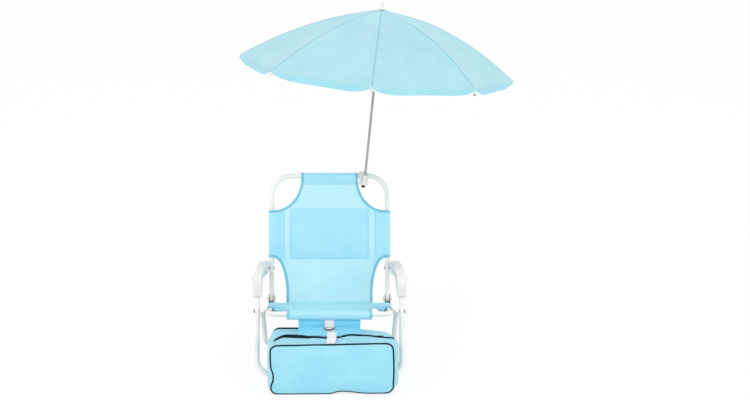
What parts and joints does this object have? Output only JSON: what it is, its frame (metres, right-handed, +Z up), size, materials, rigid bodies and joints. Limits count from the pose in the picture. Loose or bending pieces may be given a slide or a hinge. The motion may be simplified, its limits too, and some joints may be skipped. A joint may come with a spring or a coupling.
{
  "type": "umbrella chair",
  "caption": "Child-size folding beach chair with a fabric sling, moulded armrests, a clamp-on umbrella and a soft cooler bag hung in front.",
  "frame": {"origin": "middle of the underside of the front floor bar, on the floor", "axes": "+Z up, +Y from the front of the chair to its back, +X to the right in the picture, towards the umbrella clamp"},
  "size_m": [0.7079, 0.7799, 0.9113],
  "materials": {
    "white_powder_coat": "semi-gloss white powder coat on steel tube",
    "white_plastic": "white moulded polypropylene",
    "zinc_steel": "zinc-plated steel",
    "dark_plastic": "dark moulded nylon",
    "sling_cloth": "light blue woven polyester sling",
    "pocket_cloth": "light blue woven polyester, doubled",
    "bag_cloth": "light blue coated polyester over foam",
    "hanger_cloth": "sky blue woven polyester flap",
    "white_webbing": "white woven webbing",
    "canopy_cloth": "light blue thin polyester canopy"
  },
  "bodies": {
    "seat": {"seat_frame": "white_powder_coat", "seat_sling": "sling_cloth", "hinge_bracket_left": "white_plastic", "hinge_bracket_right": "white_plastic", "back_hinge_rivet_left": "zinc_steel", "back_hinge_rivet_right": "zinc_steel", "leg_bolt_left": "zinc_steel", "leg_bolt_right": "zinc_steel", "leg_spacer_left": "white_plastic", "leg_spacer_right": "white_plastic", "bag_body": "bag_cloth", "bag_hanger": "hanger_cloth", "strap_upper": "white_webbing", "buckle_socket": "white_plastic"},
    "back": {"back_frame": "white_powder_coat", "back_sling": "sling_cloth", "back_pocket": "pocket_cloth", "arm_back_rivet_left": "zinc_steel", "arm_back_rivet_right": "zinc_steel", "umbrella_clamp": "white_plastic"},
    "front_legs": {"front_leg_frame": "white_powder_coat", "arm_leg_rivet_left": "zinc_steel", "arm_leg_rivet_right": "zinc_steel"},
    "rear_legs": {"rear_leg_frame": "white_powder_coat", "rear_leg_plug_left": "white_plastic", "rear_leg_plug_right": "white_plastic"},
    "armrest_left": {"armrest_left": "white_plastic"},
    "armrest_right": {"armrest_right": "white_plastic"},
    "clamp_jaw": {"clamp_jaw": "white_plastic"},
    "clamp_screw": {"clamp_screw": "dark_plastic"},
    "umbrella_swivel": {"pole_socket": "white_plastic"},
    "umbrella": {"umbrella_pole": "zinc_steel", "umbrella_crown": "white_plastic", "umbrella_finial": "white_plastic", "canopy": "canopy_cloth"},
    "runner": {"umbrella_runner": "white_plastic"},
    "rib_1": {"rib_1": "zinc_steel"},
    "rib_2": {"rib_2": "zinc_steel"},
    "rib_3": {"rib_3": "zinc_steel"},
    "rib_4": {"rib_4": "zinc_steel"},
    "rib_5": {"rib_5": "zinc_steel"},
    "rib_6": {"rib_6": "zinc_steel"},
    "rib_7": {"rib_7": "zinc_steel"},
    "rib_8": {"rib_8": "zinc_steel"},
    "stretcher_1": {"stretcher_1": "zinc_steel"},
    "stretcher_2": {"stretcher_2": "zinc_steel"},
    "stretcher_3": {"stretcher_3": "zinc_steel"},
    "stretcher_4": {"stretcher_4": "zinc_steel"},
    "stretcher_5": {"stretcher_5": "zinc_steel"},
    "stretcher_6": {"stretcher_6": "zinc_steel"},
    "stretcher_7": {"stretcher_7": "zinc_steel"},
    "stretcher_8": {"stretcher_8": "zinc_steel"},
    "bag_lid": {"bag_lid": "bag_cloth", "strap_lower": "white_webbing", "buckle_tongue": "white_plastic"},
    "zip_slider": {"zip_slider": "dark_plastic"}
  },
  "joints": [
    {"name": "back_fold", "type": "hinge", "parent": "seat", "child": "back", "pos_m": [0, 0.21792, 0.143], "axis": [1, 0, 0], "range_deg": [0, 88]},
    {"name": "front_leg_fold", "type": "hinge", "parent": "seat", "child": "front_legs", "pos_m": [0, 0.04913, 0.1575], "axis": [1, 0, 0], "range_deg": [0, 88]},
    {"name": "rear_leg_fold", "type": "hinge", "parent": "seat", "child": "rear_legs", "pos_m": [0, 0.04913, 0.1575], "axis": [1, 0, 0], "range_deg": [0, 26.1]},
    {"name": "armrest_left_fold", "type": "hinge", "parent": "back", "child": "armrest_left", "pos_m": [0, 0.24264, 0.21908], "axis": [1, 0, 0], "range_deg": [-88, 0]},
    {"name": "armrest_right_fold", "type": "hinge", "parent": "back", "child": "armrest_right", "pos_m": [0, 0.24264, 0.21908], "axis": [1, 0, 0], "range_deg": [-88, 0]},
    {"name": "clamp_jaw_slide", "type": "slide", "parent": "back", "child": "clamp_jaw", "axis": [0, 0, -1], "range_m": [0, 0.003]},
    {"name": "clamp_screw_turn", "type": "hinge", "parent": "clamp_jaw", "child": "clamp_screw", "pos_m": [0.089, 0.31742, 0.42], "axis": [0, 0, 1], "range_deg": [0, 1080]},
    {"name": "umbrella_lean", "type": "hinge", "parent": "back", "child": "umbrella_swivel", "pos_m": [0.0925, 0.30542, 0.44374], "axis": [0, 1, 0], "range_deg": [-20, 15]},
    {"name": "umbrella_lift_out", "type": "slide", "parent": "umbrella_swivel", "child": "umbrella", "axis": [0.0941, 0, 0.9956], "range_m": [0, 0.02]},
    {"name": "runner_slide", "type": "slide", "parent": "umbrella", "child": "runner", "axis": [-0.0941, 0, -0.9956], "range_m": [0, 0.2405], "deforming": ["canopy"]},
    {"name": "rib_1_fold", "type": "hinge", "parent": "umbrella", "child": "rib_1", "pos_m": [0.14291, 0.29599, 0.87943], "axis": [0.0573, 0.9983, -0.0054], "range_deg": [0, 61.1]},
    {"name": "rib_2_fold", "type": "hinge", "parent": "umbrella", "child": "rib_2", "pos_m": [0.14061, 0.30264, 0.87965], "axis": [-0.6623, 0.7466, 0.0626], "range_deg": [0, 61.1]},
    {"name": "rib_3_fold", "type": "hinge", "parent": "umbrella", "child": "rib_3", "pos_m": [0.13429, 0.30571, 0.88024], "axis": [-0.9939, 0.0576, 0.094], "range_deg": [0, 61.1]},
    {"name": "rib_4_fold", "type": "hinge", "parent": "umbrella", "child": "rib_4", "pos_m": [0.12767, 0.30339, 0.88087], "axis": [-0.7433, -0.6652, 0.0703], "range_deg": [0, 61.1]},
    {"name": "rib_5_fold", "type": "hinge", "parent": "umbrella", "child": "rib_5", "pos_m": [0.12462, 0.29705, 0.88116], "axis": [-0.0573, -0.9983, 0.0054], "range_deg": [0, 61.1]},
    {"name": "rib_6_fold", "type": "hinge", "parent": "umbrella", "child": "rib_6", "pos_m": [0.12693, 0.2904, 0.88094], "axis": [0.6623, -0.7466, -0.0626], "range_deg": [0, 61.1]},
    {"name": "rib_7_fold", "type": "hinge", "parent": "umbrella", "child": "rib_7", "pos_m": [0.13324, 0.28734, 0.88034], "axis": [0.9939, -0.0576, -0.094], "range_deg": [0, 61.1]},
    {"name": "rib_8_fold", "type": "hinge", "parent": "umbrella", "child": "rib_8", "pos_m": [0.13986, 0.28965, 0.87972], "axis": [0.7433, 0.6652, -0.0703], "range_deg": [0, 61.1]},
    {"name": "stretcher_1_fold", "type": "hinge", "parent": "rib_1", "child": "stretcher_1", "pos_m": [0.30454, 0.28635, 0.81303], "axis": [0.0573, 0.9983, -0.0054], "range_deg": [-122.2, 0]},
    {"name": "stretcher_2_fold", "type": "hinge", "parent": "rib_2", "child": "stretcher_2", "pos_m": [0.26027, 0.41402, 0.81721], "axis": [-0.6623, 0.7466, 0.0626], "range_deg": [-122.2, 0]},
    {"name": "stretcher_3_fold", "type": "hinge", "parent": "rib_3", "child": "stretcher_3", "pos_m": [0.1391, 0.47286, 0.82867], "axis": [-0.9939, 0.0576, 0.094], "range_deg": [-122.2, 0]},
    {"name": "stretcher_4_fold", "type": "hinge", "parent": "rib_4", "child": "stretcher_4", "pos_m": [0.012, 0.4284, 0.84068], "axis": [-0.7433, -0.6652, 0.0703], "range_deg": [-122.2, 0]},
    {"name": "stretcher_5_fold", "type": "hinge", "parent": "rib_5", "child": "stretcher_5", "pos_m": [-0.04658, 0.30669, 0.84622], "axis": [-0.0573, -0.9983, 0.0054], "range_deg": [-122.2, 0]},
    {"name": "stretcher_6_fold", "type": "hinge", "parent": "rib_6", "child": "stretcher_6", "pos_m": [-0.00232, 0.17902, 0.84204], "axis": [0.6623, -0.7466, -0.0626], "range_deg": [-122.2, 0]},
    {"name": "stretcher_7_fold", "type": "hinge", "parent": "rib_7", "child": "stretcher_7", "pos_m": [0.11885, 0.12018, 0.83058], "axis": [0.9939, -0.0576, -0.094], "range_deg": [-122.2, 0]},
    {"name": "stretcher_8_fold", "type": "hinge", "parent": "rib_8", "child": "stretcher_8", "pos_m": [0.24596, 0.16464, 0.81857], "axis": [0.7433, 0.6652, -0.0703], "range_deg": [-122.2, 0]},
    {"name": "bag_lid_open", "type": "hinge", "parent": "seat", "child": "bag_lid", "pos_m": [0, -0.128, 0.122], "axis": [1, 0, 0], "range_deg": [0, 110]},
    {"name": "zip_pull", "type": "slide", "parent": "seat", "child": "zip_slider", "axis": [-1, 0, 0], "range_m": [0, 0.248]}
  ],
  "couplings": [
    {"joint": "front_leg_fold", "follows": "back_fold", "ratio": 1},
    {"joint": "rear_leg_fold", "follows": "back_fold", "ratio": 0.2955},
    {"joint": "armrest_left_fold", "follows": "back_fold", "ratio": -1},
    {"joint": "armrest_right_fold", "follows": "back_fold", "ratio": -1},
    {"joint": "clamp_screw_turn", "follows": "clamp_jaw_slide", "rad_per_m": 6283.2},
    {"joint": "rib_1_fold", "follows": "runner_slide", "rad_per_m": 4.4324},
    {"joint": "rib_2_fold", "follows": "runner_slide", "rad_per_m": 4.4324},
    {"joint": "rib_3_fold", "follows": "runner_slide", "rad_per_m": 4.4324},
    {"joint": "rib_4_fold", "follows": "runner_slide", "rad_per_m": 4.4324},
    {"joint": "rib_5_fold", "follows": "runner_slide", "rad_per_m": 4.4324},
    {"joint": "rib_6_fold", "follows": "runner_slide", "rad_per_m": 4.4324},
    {"joint": "rib_7_fold", "follows": "runner_slide", "rad_per_m": 4.4324},
    {"joint": "rib_8_fold", "follows": "runner_slide", "rad_per_m": 4.4324},
    {"joint": "stretcher_1_fold", "follows": "runner_slide", "rad_per_m": -8.8648},
    {"joint": "stretcher_2_fold", "follows": "runner_slide", "rad_per_m": -8.8648},
    {"joint": "stretcher_3_fold", "follows": "runner_slide", "rad_per_m": -8.8648},
    {"joint": "stretcher_4_fold", "follows": "runner_slide", "rad_per_m": -8.8648},
    {"joint": "stretcher_5_fold", "follows": "runner_slide", "rad_per_m": -8.8648},
    {"joint": "stretcher_6_fold", "follows": "runner_slide", "rad_per_m": -8.8648},
    {"joint": "stretcher_7_fold", "follows": "runner_slide", "rad_per_m": -8.8648},
    {"joint": "stretcher_8_fold", "follows": "runner_slide", "rad_per_m": -8.8648}
  ]
}
